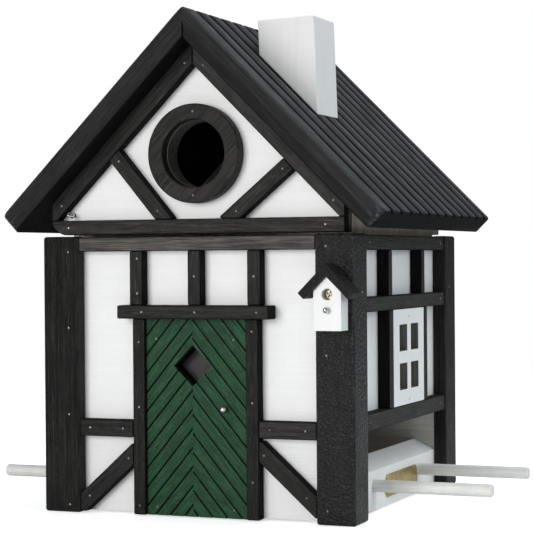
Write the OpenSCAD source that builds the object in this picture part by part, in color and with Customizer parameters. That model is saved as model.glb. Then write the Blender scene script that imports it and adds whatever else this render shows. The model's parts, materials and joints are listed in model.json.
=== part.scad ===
// Half-timbered birdhouse: a nest box and feeder whose roof swings open on two pins.
// Millimetres. The origin is the centre of the base, +Z is up and the front faces -Y.

/* [House body] */
// Width over the corner posts
body_w = 160; // [120:1:240]
// Depth over the corner posts
body_d = 166; // [130:1:240]
// Height of the corner posts
post_h = 133.5; // [125:0.5:200]
// Side of a corner post's square section, if that laps the panels enough
post_size = 19; // [14:0.5:24]
// Least that a corner post laps past the thickness of a panel
post_lap = 1; // [0.5:0.1:4]
// How far the posts stand proud of the wall panels
post_proud = 7; // [6.5:0.5:9]
// Thickness of the wall panels
panel_t = 11; // [8:0.5:14]
// Gap from the ground to the wall panels
panel_lift = 0.8; // [0.5:0.1:2]
// Gap from the front and back panels up to the top of the posts
panel_drop = 0.5; // [0.2:0.1:1]
// Thickness of the floor board
floor_t = 8; // [5:0.5:9]

/* [Timber trims] */
// How far the rails, studs and braces stand proud of a panel
trim_t = 6.2; // [4:0.1:6.4]
// Height of the top rails
top_rail_h = 6.8; // [5:0.1:9]
// Width of the studs above the door
stud_w = 6.8; // [5:0.1:9]
// Distance from the middle stud to an outer stud
stud_spread = 30.4; // [24:0.2:36]
// Height of the short rails beside the door
mid_rail_h = 8.2; // [6:0.1:11]
// Underside of the left short rail
mid_rail_left_z = 37.2; // [30:0.1:44]
// Underside of the right short rail
mid_rail_right_z = 38.6; // [30:0.1:44]
// Width of the lower braces
lower_brace_w = 8.2; // [6:0.1:10]
// Height where the left lower brace meets the door post
lower_brace_left_z = 29.5; // [22:0.1:34]
// Height where the right lower brace meets the door post
lower_brace_right_z = 33.2; // [26:0.1:34]
// Height where the left lower brace meets the corner post
lower_brace_left_foot = 3.8; // [2:0.1:12]
// Height where the right lower brace meets the corner post
lower_brace_right_foot = 7.5; // [2:0.1:12]

/* [Door] */
// Clear width between the door posts
door_w = 52; // [40:1:64]
// Height of the underside of the lintel
door_h = 94; // [80:1:105]
// Thickness of the door
door_t = 4; // [3:0.1:5]
// Width of a door post
door_post_w = 6.4; // [5:0.1:8]
// Length of the lintel
lintel_w = 78; // [70:1:90]
// Height of the lintel
lintel_h = 6.4; // [5:0.1:8]
// How far the lintel stands proud of the panel
lintel_t = 9.5; // [7:0.1:12]
// Slope of the door grooves from level
chevron_angle = 50; // [40:1:55]
// Height from one door groove to the next
chevron_pitch = 9; // [7:0.1:12]
// Width of a door groove
groove_w = 0.8; // [0.6:0.1:1.6]
// Depth of a door groove
groove_depth = 1.0; // [0.5:0.1:1.5]
// Distance of the door pattern's middle line left of the door's middle
door_pattern_shift = 2; // [0:0.1:4]
// Side of the diamond window in the door
diamond_side = 13.8; // [10:0.1:18]
// Height of the middle of the diamond window
diamond_z = 71.7; // [64:0.1:78]
// How far behind the wall's face the pane of the diamond window lies
pane_recess = 5; // [2:0.1:6]
// Diameter of the round door knob
knob_d = 3.4; // [2.5:0.1:5]

/* [Side walls] */
// Height of the side rails
side_rail_h = 7.1; // [5:0.1:9]
// Underside of the middle side rail
side_mid_z = 96.8; // [90:0.1:105]
// Height of the lower side rail
side_low_h = 8.1; // [6:0.1:10]
// Underside of the lower side rail, which is the top of the feeder opening
side_low_z = 41.3; // [36:0.1:46]
// Width of the side studs
side_stud_w = 5.8; // [5:0.1:8]
// Distance from the middle of a side wall to its upper studs
side_stud_spread = 26.8; // [20:0.1:34]
// Width of the window frame
window_w = 50; // [44:0.5:60]
// Distance of the window's middle behind the middle of the side wall
window_shift = 2.2; // [0:0.1:4]
// Width of a window pane opening
pane_w = 12.4; // [9:0.1:15]
// Height of a window pane opening
pane_h = 13; // [9:0.1:15]
// Width of the window's glazing bars
bar_w = 6.1; // [4:0.1:8]
// Thickness of the pane behind the window frame
pane_t = 1; // [0.8:0.1:1.5]
// Side clearance of the window frame between its studs
window_gap = 0.6; // [0.3:0.1:1]

/* [Feeder] */
// Height of the feeder sill at its outer face
sill_out_z = 20; // [17:0.5:24]
// Height of the feeder sill at its inner face
sill_in_z = 25.4; // [22:0.5:30]
// Diameter of the perch rods
perch_d = 6; // [5:0.1:6.5]
// Length of a perch rod
perch_len = 260; // [240:1:320]
// Height of the perch rods' axes
perch_z = 12.8; // [12.5:0.1:13.5]
// Distance from one perch rod to the other
perch_spread = 71; // [66:0.5:85]
// How far the perch rods stand off centre, towards +X
perch_shift = 1.5; // [0:0.1:5]
// Radial clearance of a perch rod in its sill holes
perch_gap = 0.08; // [0.02:0.01:0.1]
// Length of the brass badge
badge_w = 50; // [40:1:60]
// Height of the brass badge
badge_h = 11; // [8:0.5:12]
// Thickness of the brass badge
badge_t = 0.8; // [0.5:0.1:1.2]
// Distance of the badge behind the middle of the sill
badge_shift = 6.3; // [0:0.1:8]

/* [Roof] */
// Slope of the roof
roof_pitch = 45; // [42:1:48]
// Thickness of the roof boards
roof_t = 11; // [8:0.5:14]
// How far the eaves reach past the corner posts
eave_reach = 17.5; // [14:0.5:24]
// How far the roof reaches past the front of the posts
roof_front = 11; // [6:0.5:20]
// How far the roof reaches past the back of the posts
roof_back = 8; // [2:0.5:20]
// Height of the roof's underside above the posts, over the wall face
wall_to_roof = 18.5; // [17:0.5:24]
// Gap between the posts and the swinging gables
roof_gap = 0.7; // [0.6:0.1:1]
// Distance between roof grooves
rib_pitch = 14.5; // [10:0.5:20]
// Distance of the first roof groove from the front edge
rib_first = 15.4; // [8:0.1:20]
// Width of a roof groove at its mouth
rib_groove_w = 3.6; // [1.6:0.1:6]
// Width of a roof groove at its foot
rib_foot_w = 2.2; // [0.8:0.1:3]
// Depth of a roof groove
rib_depth = 1.4; // [1:0.1:4]
// Height of the side walls' raw top edge above the posts
wall_top_up = 15.5; // [14:0.5:16]

/* [Gable] */
// Height of the gable beam
beam_h = 7; // [5:0.1:7]
// How far the gable beam reaches past the wall face
beam_over = 2.5; // [1:0.1:4]
// Width of a rafter trim
rafter_w = 7.8; // [6:0.1:9]
// Diameter of the entrance hole
entrance_d = 32; // [26:1:36]
// Outer diameter of the ring round the entrance
ring_d = 47; // [42:1:52]
// How far the ring stands proud of the gable
ring_t = 6.5; // [5:0.1:8]
// Height of the entrance above the posts
entrance_up = 38.5; // [34:0.5:42]
// Width of the gable braces
gable_brace_w = 7.3; // [6:0.1:9]
// Slope of the left gable brace
brace_left_angle = 50; // [42:1:55]
// Slope of the right gable brace
brace_right_angle = 39.5; // [36:0.5:48]
// Foot of the left gable brace, from the middle
brace_left_foot = 15.5; // [12:0.5:20]
// Foot of the right gable brace, from the middle
brace_right_foot = 18; // [14:0.5:22]

/* [Chimney] */
// Width and depth of the chimney block
chimney_w = 29; // [22:1:34]
// Distance from the ridge line to the chimney's middle, at its top
chimney_x = 33.5; // [26:0.5:44]
// Distance from the front of the posts back to the chimney
chimney_back = 36; // [24:1:60]
// Distance from the ridge down to the top of the chimney
chimney_down = 2.5; // [0:0.5:12]
// Lean of the chimney towards the ridge
chimney_lean = 2; // [0:0.5:3]

/* [Roof hinge] */
// Diameter of a hinge pin, which is the shank of a screw eye
pin_d = 1.8; // [1.4:0.1:2.4]
// Outer diameter of the screw eye's ring
eye_d = 4.6; // [4:0.1:4.8]
// Thickness of the ring's wire
eye_wire = 1.3; // [1:0.1:1.6]
// How far the ring stands out from its gable
pin_out = 7; // [5:0.5:9]
// How far the ring's plane is turned about its shank
eye_turn = 35; // [0:5:90]
// Depth of a hinge pin in the end of the side wall
pin_grip = 15; // [10:1:24]
// Distance of the hinge pins inside the wall face
pin_in = 6.5; // [5:0.1:8]
// Height of the hinge pins above the posts
pin_up = 10.4; // [10:0.1:11]
// Radial clearance of a hinge pin in its gable
pin_gap = 0.07; // [0.03:0.01:0.1]
// Gap between the swinging parts and the top of the posts
swing_gap = 0.4; // [0.3:0.1:0.5]
// Gap between a gable and the raised side walls
gable_gap = 0.5; // [0.3:0.1:1]

/* [Little house] */
// Width of the little house on the right post
mini_w = 13.4; // [10:0.1:16]
// Depth of the little house
mini_d = 9.5; // [7:0.1:12]
// Height from its floor to the tip of its roof
mini_h = 30.6; // [24:0.1:36]
// Height of its floor
mini_z = 89.3; // [80:0.1:95]
// Distance of its middle from the post's inner side
mini_in = 9.4; // [7:0.1:12]
// Length of one slope of its roof
mini_roof_len = 19; // [15:0.5:22]
// Thickness of its roof
mini_roof_t = 4; // [3:0.1:5]
// How far its roof reaches past its front
mini_roof_over = 2.5; // [1:0.1:4]
// Diameter of the screw hole in its front
mini_hole_d = 5.2; // [4:0.1:6]
// Diameter of its round-headed perch nail
mini_perch_d = 2.8; // [2:0.1:3.5]

/* [Fixings] */
// Diameter of a nail head
nail_head_d = 1.1; // [0.9:0.1:2.4]
// Height of a nail head
nail_head_h = 0.2; // [0.15:0.05:0.6]
// Diameter of a nail's shank
nail_d = 0.8; // [0.6:0.1:1.2]
// Length of a nail's shank
nail_len = 4.5; // [3:0.5:5]
// Diameter of the hanging hole in the back panel
hang_d = 6; // [4:0.5:8]
// Height of the hanging hole
hang_z = 108; // [80:1:115]

/* [Hidden] */
$fn = 64;

half_w = body_w / 2;                       // outer faces of the posts, in X
half_d = body_d / 2;                       // outer faces of the posts, in Y
wall_x = half_w - post_proud;              // outer face of a side panel
wall_y = half_d - post_proud;              // outer face of the front and back panels
room_x = wall_x - panel_t;                 // inner face of a side panel
room_y = wall_y - panel_t;                 // inner face of the front and back panels
post_w = max(post_size, post_proud + panel_t + post_lap);
bay_x = half_w - post_w;                   // inner side of a front post
bay_y = half_d - post_w;                   // inner side of a post, seen from the side
trim_y = wall_y + trim_t;                  // front face of the front trims
trim_x = wall_x + trim_t;                  // outer face of the side trims
rail_top = post_h - panel_drop;            // top of the panels and of the top rails
lintel_top = door_h + lintel_h;
door_side = door_w / 2;
post_side = door_side + door_post_w;
slope = tan(roof_pitch);
under_apex = post_h + wall_to_roof + wall_x * slope;   // underside of the roof at the ridge
over_apex = under_apex + roof_t / cos(roof_pitch);     // top of the roof at the ridge
trim_apex = under_apex - rafter_w / cos(roof_pitch);   // lower edge of the rafter trims
gable_z = post_h + roof_gap;
beam_top = gable_z + beam_h;
beam_x = wall_x + beam_over;
entrance_z = post_h + entrance_up;
roof_y0 = -half_d - roof_front;
roof_y1 = half_d + roof_back;
roof_reach = half_w + eave_reach;
hinge_x = -(wall_x - pin_in);
hinge_z = post_h + pin_up;
swing_r = pin_up - swing_gap;              // what lies below the hinge stays inside this
pin_tip_y = room_y - gable_gap - pin_grip;
far = 400;                                 // longer than anything it cuts

// How steeply a lower brace falls from the door post to the corner post
function brace_fall(meet_z, foot_z) = (meet_z - foot_z) / (bay_x - post_side);

// Shapes

// A box from one corner to the opposite corner
module block(low, high) {
    translate(low) cube(high - low);
}

// An outline drawn in X and Z, made solid from y0 to y1
module along_y(y0, y1) {
    translate([0, y1, 0]) rotate([90, 0, 0]) linear_extrude(y1 - y0) children();
}

// An outline drawn in Y and Z, made solid from x0 to x1
module along_x(x0, x1) {
    translate([x0, 0, 0]) rotate([90, 0, 90]) linear_extrude(x1 - x0) children();
}

// A round bar of diameter d along Y, from y0 to y1
module rod_y(d, x, z, y0, y1) {
    translate([x, y1, z]) rotate([90, 0, 0]) cylinder(d = d, h = y1 - y0);
}

// A round bar of diameter d along X, from x0 to x1
module rod_x(d, y, z, x0, x1) {
    translate([x0, y, z]) rotate([0, 90, 0]) cylinder(d = d, h = x1 - x0);
}

// A shallow round head on a shank, pointing along +Z from the surface at the origin
module nail(head_d, head_h, shank_d, shank) {
    translate([0, 0, -shank]) cylinder(d = shank_d, h = shank + head_h / 2, $fn = 16);
    intersection() {
        cylinder(d = head_d, h = head_h, $fn = 24);
        sphere_r = (head_d * head_d / 4 + head_h * head_h) / (2 * head_h);
        translate([0, 0, head_h - sphere_r]) sphere(r = sphere_r, $fn = 48);
    }
}

module front_nail(x, y, z) {
    translate([x, -y, z]) rotate([90, 0, 0]) nail(nail_head_d, nail_head_h, nail_d, nail_len);
}

module side_nail(x, y, z) {
    translate([x, y, z]) rotate([0, 90, 0]) nail(nail_head_d, nail_head_h, nail_d, nail_len);
}

// A front trim between two heights and two places across
module front_trim(x0, x1, z0, z1, t = trim_t) {
    block([x0, -wall_y - t, z0], [x1, -wall_y, z1]);
}

// A right-hand side trim
module side_trim(y0, y1, z0, z1) {
    block([wall_x, y0, z0], [trim_x, y1, z1]);
}

module left_copy() {
    mirror([1, 0, 0]) children();
}

// House body

module floor_board() {
    color("tan") block([-room_x, -room_y, 0], [room_x, room_y, floor_t]);
}

// The diamond window of the door goes on into the panel as a blind pocket
module front_panel() {
    color("white") difference() {
        block([-wall_x, -wall_y, panel_lift], [wall_x, -room_y, rail_top]);
        diamond(-wall_y - 1, -wall_y + pane_recess + pane_t);
    }
}

module back_panel() {
    color("white") difference() {
        block([-wall_x, room_y, panel_lift], [wall_x, wall_y, rail_top]);
        rod_y(hang_d, 0, hang_z, room_y - 1, wall_y + 1);
    }
}

// A side panel hangs above the feeder opening and rises, raw, between the two gables
module side_panel() {
    block([room_x, -room_y, side_low_z], [wall_x, room_y, rail_top]);
    block([room_x, -room_y + gable_gap, rail_top], [wall_x, room_y - gable_gap, post_h + wall_top_up]);
}

module left_side_panel() {
    color("white") difference() {
        left_copy() side_panel();
        for (s = [-1, 1])
            rod_y(pin_d, hinge_x, hinge_z, min(s * pin_tip_y, s * far), max(s * pin_tip_y, s * far));
    }
}

module right_side_panel() {
    color("white") side_panel();
}

// A square post with its inner corner cut away to fit over the corner of the walls
module corner_post() {
    difference() {
        block([bay_x, bay_y, 0], [half_w, half_d, post_h]);
        block([0, 0, -1], [wall_x, wall_y, post_h + 1]);
    }
}

module front_left_post() {
    color("#2b2a29") mirror([1, 0, 0]) mirror([0, 1, 0]) corner_post();
}

module front_right_post() {
    color("#2b2a29") mirror([0, 1, 0]) corner_post();
}

module back_left_post() {
    color("#2b2a29") mirror([1, 0, 0]) corner_post();
}

module back_right_post() {
    color("#2b2a29") corner_post();
}

// Front timbers

module front_top_rail() {
    color("#2f2e2d") front_trim(-bay_x, bay_x, rail_top - top_rail_h, rail_top);
}

module upper_stud(x) {
    color("#2f2e2d") front_trim(x - stud_w / 2, x + stud_w / 2, lintel_top, rail_top - top_rail_h);
}

module left_upper_stud() {
    upper_stud(-stud_spread);
}

module middle_upper_stud() {
    upper_stud(0);
}

module right_upper_stud() {
    upper_stud(stud_spread);
}

module door_lintel() {
    color("#2f2e2d") front_trim(-lintel_w / 2, lintel_w / 2, door_h, lintel_top, lintel_t);
}

module left_door_post() {
    color("#2b2a29") front_trim(-post_side, -door_side, panel_lift / 2, door_h);
}

module right_door_post() {
    color("#2b2a29") front_trim(door_side, post_side, panel_lift / 2, door_h);
}

module left_mid_rail() {
    color("#2f2e2d") front_trim(-bay_x, -post_side, mid_rail_left_z, mid_rail_left_z + mid_rail_h);
}

module right_mid_rail() {
    color("#2f2e2d") front_trim(post_side, bay_x, mid_rail_right_z, mid_rail_right_z + mid_rail_h);
}

// A sloping board that falls from the door post to the corner post, right-hand side
module lower_brace(meet_z, foot_z) {
    color("#2f2e2d") intersection() {
        front_trim(post_side, bay_x, panel_lift, mid_rail_left_z);
        along_y(-wall_y - trim_t, -wall_y)
            translate([post_side, meet_z]) rotate(-atan(brace_fall(meet_z, foot_z)))
                translate([-far / 2, -lower_brace_w / 2]) square([far, lower_brace_w]);
    }
}

module left_lower_brace() {
    left_copy() lower_brace(lower_brace_left_z, lower_brace_left_foot);
}

module right_lower_brace() {
    lower_brace(lower_brace_right_z, lower_brace_right_foot);
}

// Door

// The diamond window's shape, from y0 to y1
module diamond(y0, y1) {
    along_y(y0, y1) translate([-door_pattern_shift, diamond_z]) rotate(45) square(diamond_side, center = true);
}

// The grooves on one half of the door, rising towards its middle line
module door_grooves(side, start) {
    reach = door_w + 2 * door_pattern_shift;
    drop = reach * tan(chevron_angle);
    steps = ceil((door_h + drop) / chevron_pitch);
    intersection() {
        block([min(0, side * far), -wall_y - door_t - 1, -far], [max(0, side * far), -wall_y, far]);
        for (i = [0:steps])
            translate([0, -wall_y - door_t + groove_depth, start + i * chevron_pitch])
                rotate([0, side * chevron_angle, 0])
                    translate([-reach, -groove_depth - 1, -groove_w / 2])
                        cube([2 * reach, groove_depth + 1, groove_w]);
    }
}

module door() {
    lower_start = diamond_z - 8 * chevron_pitch;
    color("#23482f") difference() {
        front_trim(-door_side, door_side, panel_lift / 2, door_h, door_t);
        translate([-door_pattern_shift, 0, 0]) {
            door_grooves(-1, lower_start + 15.5 - chevron_pitch);
            door_grooves(1, lower_start + 12.9 - chevron_pitch);
        }
        diamond(-wall_y - door_t - 1, -wall_y + 1);
    }
}

// The dark pane lies on the floor of the pocket behind the door's diamond window
module door_pane() {
    color("#2c2c30") diamond(-wall_y + pane_recess, -wall_y + pane_recess + pane_t);
}

module door_knob() {
    knob_x = 14.6;
    knob_z = 51.7;
    neck = 1;
    color("silver") {
        rod_y(knob_d * 0.6, knob_x, knob_z, -wall_y - door_t - neck, -wall_y - door_t);
        translate([knob_x, -wall_y - door_t - neck, knob_z]) rotate([90, 0, 0])
            rotate_extrude() intersection() {
                translate([0, knob_d * 0.3]) circle(d = knob_d);
                square([knob_d, knob_d]);
            }
    }
}

// Side timbers and windows, right-hand side

module top_side_rail() {
    color("#2f2e2d") side_trim(-bay_y, bay_y, rail_top - side_rail_h, rail_top);
}

module middle_side_rail() {
    color("#2f2e2d") side_trim(-bay_y, bay_y, side_mid_z, side_mid_z + side_rail_h);
}

module low_side_rail() {
    color("#2f2e2d") side_trim(-bay_y, bay_y, side_low_z, side_low_z + side_low_h);
}

// Two studs above the middle rail and two beside the window
module side_studs() {
    upper_z = side_mid_z + side_rail_h;
    lower_z = side_low_z + side_low_h;
    color("#2f2e2d") for (s = [-1, 1]) {
        upper_y = s * side_stud_spread;
        lower_y = window_shift + s * (window_w / 2 + window_gap + side_stud_w / 2);
        side_trim(upper_y - side_stud_w / 2, upper_y + side_stud_w / 2, upper_z, rail_top - side_rail_h);
        side_trim(lower_y - side_stud_w / 2, lower_y + side_stud_w / 2, lower_z, side_mid_z);
    }
}

module window_frame() {
    z0 = side_low_z + side_low_h;
    mid_z = (z0 + side_mid_z) / 2;
    color("white") difference() {
        side_trim(window_shift - window_w / 2, window_shift + window_w / 2, z0, side_mid_z);
        for (y = [-1, 1], z = [-1, 1]) {
            cy = window_shift + y * (pane_w + bar_w) / 2;
            cz = mid_z + z * (pane_h + bar_w) / 2;
            block([wall_x - 1, cy - pane_w / 2, cz - pane_h / 2], [trim_x + 1, cy + pane_w / 2, cz + pane_h / 2]);
        }
        window_pane_space();
    }
}

// The space behind the glazing bars that one pane fills
module window_pane_space() {
    z0 = side_low_z + side_low_h;
    mid_z = (z0 + side_mid_z) / 2;
    rim = 1.5;
    half_y = pane_w + bar_w / 2 + rim;
    half_z = pane_h + bar_w / 2 + rim;
    block([wall_x, window_shift - half_y, mid_z - half_z], [wall_x + pane_t, window_shift + half_y, mid_z + half_z]);
}

module window_pane() {
    color("#66625c") window_pane_space();
}

// The sill closes the foot of the side wall and sheds water outwards
module feeder_sill() {
    color("white") difference() {
        along_y(-room_y, room_y)
            polygon([[room_x, panel_lift], [wall_x, panel_lift], [wall_x, sill_out_z], [room_x, sill_in_z]]);
        for (s = [-1, 1])
            rod_x(perch_d + 2 * perch_gap, s * perch_spread / 2, perch_z, room_x - 1, wall_x + 1);
    }
}

module right_top_side_rail() {
    top_side_rail();
}

module right_middle_side_rail() {
    middle_side_rail();
}

module right_low_side_rail() {
    low_side_rail();
}

module right_side_studs() {
    side_studs();
}

module right_window_frame() {
    window_frame();
}

module right_window_pane() {
    window_pane();
}

module right_feeder_sill() {
    feeder_sill();
}

module left_top_side_rail() {
    left_copy() top_side_rail();
}

module left_middle_side_rail() {
    left_copy() middle_side_rail();
}

module left_low_side_rail() {
    left_copy() low_side_rail();
}

module left_side_studs() {
    left_copy() side_studs();
}

module left_window_frame() {
    left_copy() window_frame();
}

module left_window_pane() {
    left_copy() window_pane();
}

module left_feeder_sill() {
    left_copy() feeder_sill();
}

// A blank brass plate with cut corners
module brass_badge() {
    corner = badge_h / 5;
    half = badge_w / 2;
    color("goldenrod") along_x(wall_x, wall_x + badge_t)
        translate([badge_shift, (sill_out_z + panel_lift) / 2])
            polygon([[-half + corner, -badge_h / 2], [half - corner, -badge_h / 2],
                [half, -badge_h / 2 + corner], [half, badge_h / 2 - corner],
                [half - corner, badge_h / 2], [-half + corner, badge_h / 2],
                [-half, badge_h / 2 - corner], [-half, -badge_h / 2 + corner]]);
}

// Little house on the right post

mini_x = bay_x + mini_in;
mini_roof_z = mini_z + mini_h;
mini_apex = mini_roof_z - mini_roof_t * sqrt(2);
mini_eave = mini_apex - mini_w / 2;
mini_hole_z = mini_apex - 8.4;
mini_perch_z = mini_z + 9.4;

module little_house_body() {
    color("white") difference() {
        along_y(-half_d - mini_d, -half_d) polygon([[mini_x - mini_w / 2, mini_z],
            [mini_x + mini_w / 2, mini_z], [mini_x + mini_w / 2, mini_eave],
            [mini_x, mini_apex], [mini_x - mini_w / 2, mini_eave]]);
        rod_y(mini_hole_d, mini_x, mini_hole_z, -half_d - mini_d - 1, -half_d + 1);
    }
}

module little_house_roof() {
    leg = mini_roof_len * sqrt(1 / 2);
    edge = mini_roof_t * sqrt(1 / 2);
    color("#2b2a29") along_y(-half_d - mini_d - mini_roof_over, -half_d)
        polygon([[mini_x, mini_apex], [mini_x - leg + edge, mini_roof_z - leg - edge],
            [mini_x - leg, mini_roof_z - leg], [mini_x, mini_roof_z],
            [mini_x + leg, mini_roof_z - leg], [mini_x + leg - edge, mini_roof_z - leg - edge]]);
}

// A cross-slotted screw seated inside the little house's hole
module little_house_screw() {
    head_y = -half_d - mini_d * 0.45;
    slot = 0.7;
    color("silver") difference() {
        union() {
            translate([mini_x, head_y, mini_hole_z]) rotate([90, 0, 0])
                cylinder(d1 = mini_hole_d, d2 = mini_hole_d * 0.8, h = 1.6);
            rod_y(mini_hole_d, mini_x, mini_hole_z, head_y, -half_d);
        }
        for (a = [0, 90])
            translate([mini_x, head_y - 1.6, mini_hole_z]) rotate([0, a + 20, 0])
                block([-1.5, -1, -slot / 2], [1.5, 1.2, slot / 2]);
    }
}

module little_house_perch() {
    face_y = half_d + mini_d;
    neck = 2;
    color("silver") {
        rod_y(mini_perch_d * 0.45, mini_x, mini_perch_z, -face_y - neck, -face_y);
        translate([mini_x, -face_y - neck, mini_perch_z]) rotate([90, 0, 0])
            rotate_extrude() intersection() {
                translate([0, -0.2]) circle(d = mini_perch_d);
                square([mini_perch_d, mini_perch_d]);
            }
    }
}

// Hinge pins and nails

// One screw eye at each end, driven into the end grain of the left side wall
module hinge_pins() {
    ring_y = wall_y + pin_out - eye_d / 2;
    shank_y = ring_y - eye_d / 2 + eye_wire / 2;
    color("silver") for (s = [-1, 1]) {
        rod_y(pin_d, hinge_x, hinge_z, min(s * pin_tip_y, s * shank_y), max(s * pin_tip_y, s * shank_y));
        translate([hinge_x, s * ring_y, hinge_z]) rotate([0, eye_turn, 0])
            rotate_extrude() translate([(eye_d - eye_wire) / 2, 0]) circle(d = eye_wire);
    }
}

module body_nails() {
    post_nail_x = half_w - 13.6;
    rail_in = 5.5;
    color("silver") {
        for (z = [3.8, 47.5, 89.3, 126]) front_nail(-post_nail_x, half_d, z);
        for (z = [6.5, 77.7, 127.7]) front_nail(post_nail_x, half_d, z);
        for (z = [31.6, 106.4], y = [-1, 1]) {
            side_nail(half_w, y * (half_d - 11.5), z);
            left_copy() side_nail(half_w, y * (half_d - 11.5), z);
        }
        for (z = [106, 122.6]) front_nail(-stud_spread + 0.6, trim_y, z);
        for (x = [0, stud_spread]) front_nail(x, trim_y, 114);
        for (x = [-26, 1.6, 33]) front_nail(x, wall_y + lintel_t, door_h + lintel_h / 2);
        for (z = [4.8, 51.8, 82.8]) front_nail(-door_side - door_post_w / 2, trim_y, z);
        for (z = [18, 55, 88.3]) front_nail(door_side + door_post_w / 2, trim_y, z);
        for (x = [-21, 19], z = [4.2, 84.3]) front_nail(x, wall_y + door_t, z);
        for (x = [bay_x - rail_in, post_side + rail_in]) {
            front_nail(-x, trim_y, mid_rail_left_z + mid_rail_h / 2);
            front_nail(x, trim_y, mid_rail_right_z + mid_rail_h / 2);
        }
        for (x = [post_side + 2.6, bay_x - 5]) {
            front_nail(-x, trim_y, lower_brace_left_z
                - (x - post_side) * brace_fall(lower_brace_left_z, lower_brace_left_foot));
            front_nail(x, trim_y, lower_brace_right_z
                - (x - post_side) * brace_fall(lower_brace_right_z, lower_brace_right_foot));
        }
        for (side = [0, 1]) mirror([side, 0, 0]) side_face_nails();
    }
}

// Nails in the side rails and in the window frame
module side_face_nails() {
    low_nail_z = side_low_z + side_low_h + 2.4;
    for (z = [side_low_z + side_low_h / 2, side_mid_z + side_rail_h / 2, rail_top - side_rail_h / 2], y = [-1, 1])
        side_nail(trim_x, y * (bay_y - 6), z);
    for (z = [low_nail_z, side_mid_z - 3.8]) side_nail(trim_x, window_shift, z);
}

// Roof

// The part near the hinge that would strike the posts as the roof swings
module swing_corner() {
    difference() {
        block([-far, -far, hinge_z - far], [hinge_x, far, hinge_z]);
        rod_y(2 * swing_r, hinge_x, hinge_z, -far, far);
    }
}

module gable_shape() {
    along_y(room_y, wall_y) polygon([[-wall_x, gable_z], [wall_x, gable_z],
        [wall_x, under_apex - wall_x * slope], [0, under_apex], [-wall_x, under_apex - wall_x * slope]]);
}

module front_gable() {
    color("white") difference() {
        mirror([0, 1, 0]) gable_shape();
        swing_corner();
        rod_y(entrance_d, 0, entrance_z, -wall_y - 1, -room_y + 1);
        rod_y(pin_d + 2 * pin_gap, hinge_x, hinge_z, -wall_y - 1, -room_y + 1);
    }
}

module back_gable() {
    color("white") difference() {
        gable_shape();
        swing_corner();
        rod_y(pin_d + 2 * pin_gap, hinge_x, hinge_z, room_y - 1, wall_y + 1);
    }
}

rib_count = floor((roof_y1 - roof_y0 - rib_first - rib_groove_w) / rib_pitch) + 1;

// The board's end: flat below, grooved above
module roof_profile() {
    half_mouth = rib_groove_w / 2;
    half_foot = rib_foot_w / 2;
    grooves = [for (i = [0:rib_count - 1]) let (y = roof_y0 + rib_first + i * rib_pitch)
        each [[y - half_mouth, roof_t], [y - half_foot, roof_t - rib_depth],
            [y + half_foot, roof_t - rib_depth], [y + half_mouth, roof_t]]];
    polygon(concat([[roof_y0, 0], [roof_y0, roof_t]], grooves, [[roof_y1, roof_t], [roof_y1, 0]]));
}

// The right-hand roof board, cut upright where it meets the other at the ridge
module roof_board() {
    slope_len = (roof_reach - roof_t * sin(roof_pitch)) / cos(roof_pitch);
    difference() {
        translate([0, 0, under_apex]) rotate([0, roof_pitch, 0])
            along_x(-roof_t * slope, slope_len) roof_profile();
        block([-far, -far, -far], [0, far, far]);
    }
}

module left_roof_board() {
    color("#2b2b2c") left_copy() roof_board();
}

module right_roof_board() {
    color("#2b2b2c") roof_board();
}

// A square block that stands on the right-hand slope and leans a little to the ridge
module chimney() {
    top_z = over_apex - chimney_down;
    front_y = -half_d + chimney_back;
    color("white") difference() {
        translate([chimney_x, 0, top_z]) rotate([0, -chimney_lean, 0])
            block([-chimney_w / 2, front_y, -far / 2], [chimney_w / 2, front_y + chimney_w, 0]);
        translate([0, 0, over_apex]) rotate([0, roof_pitch, 0])
            block([-far, -far, -far], [far, far, 0]);
    }
}

module gable_beam() {
    color("#2f2e2d") difference() {
        block([-beam_x, -trim_y, gable_z], [beam_x, -wall_y, beam_top]);
        swing_corner();
    }
}

// The right-hand rafter trim lies under the roof board and stands on the beam
module rafter_trim() {
    color("#3a3937") along_y(-trim_y, -wall_y) polygon([[0, trim_apex], [trim_apex / slope - beam_top / slope, beam_top],
        [beam_x, beam_top], [beam_x, under_apex - beam_x * slope], [0, under_apex]]);
}

module left_rafter_trim() {
    left_copy() rafter_trim();
}

module right_rafter_trim() {
    rafter_trim();
}

// A sloping board from the beam up to the rafter trim, right-hand side
module gable_brace(foot, angle) {
    color("#2f2e2d") intersection() {
        along_y(-trim_y, -wall_y)
            polygon([[0, beam_top], [trim_apex / slope - beam_top / slope, beam_top], [0, trim_apex]]);
        along_y(-trim_y, -wall_y)
            translate([foot, beam_top]) rotate(angle)
                translate([-far / 2, -gable_brace_w / 2]) square([far, gable_brace_w]);
    }
}

module left_gable_brace() {
    left_copy() gable_brace(brace_left_foot, brace_left_angle);
}

module right_gable_brace() {
    gable_brace(brace_right_foot, brace_right_angle);
}

module entrance_ring() {
    color("#2b2a29") difference() {
        rod_y(ring_d, 0, entrance_z, -wall_y - ring_t, -wall_y);
        rod_y(entrance_d, 0, entrance_z, -wall_y - ring_t - 1, -wall_y + 1);
    }
}

module roof_nails() {
    ring_mid = (ring_d + entrance_d) / 4;
    color("silver") {
        for (x = [-66.5, 66]) front_nail(x, trim_y, gable_z + beam_h / 2);
        for (x = [-70.2, -4, 5.5, 70]) front_nail(x, trim_y, trim_apex - abs(x) * slope + rafter_w * 0.6);
        for (s = [-1, 1]) front_nail(0, wall_y + ring_t, entrance_z + s * ring_mid);
        for (up = [4, 28]) {
            front_nail(-brace_left_foot - up / tan(brace_left_angle), trim_y, beam_top + up);
            front_nail(brace_right_foot + up * 0.8 / tan(brace_right_angle), trim_y, beam_top + up * 0.8);
        }
    }
}

// Perches

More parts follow.
